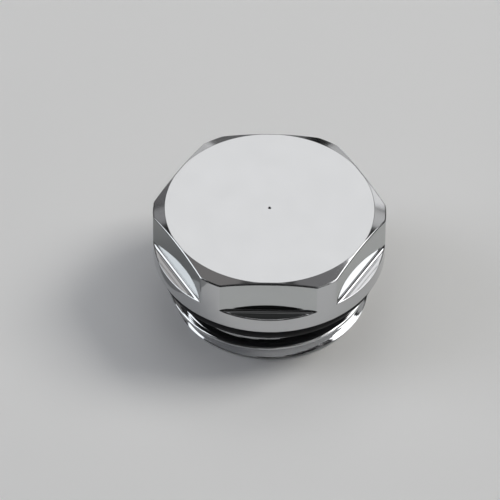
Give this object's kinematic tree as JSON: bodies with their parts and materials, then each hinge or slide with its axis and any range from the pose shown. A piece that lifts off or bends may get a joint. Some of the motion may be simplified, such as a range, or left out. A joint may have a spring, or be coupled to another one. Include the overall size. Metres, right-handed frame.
{
  "type": "radiator blanking plug",
  "caption": "Chrome plated radiator blanking plug with a spanner hexagon on a round flange, a short pipe thread and a rubber sealing ring under the head.",
  "frame": {"origin": "centre of the thread's end face, which the plug stands on", "axes": "+Z along the thread axis towards the head; one flat of the hexagon faces -Y"},
  "size_m": [0.0242, 0.0242, 0.0122],
  "materials": {
    "chrome_plate": "polished chrome plate on turned brass, satin on the top disc",
    "black_rubber": "smooth moulded rubber"
  },
  "bodies": {
    "root": {"plug_body": "chrome_plate", "o_ring": "black_rubber"}
  },
  "joints": []
}
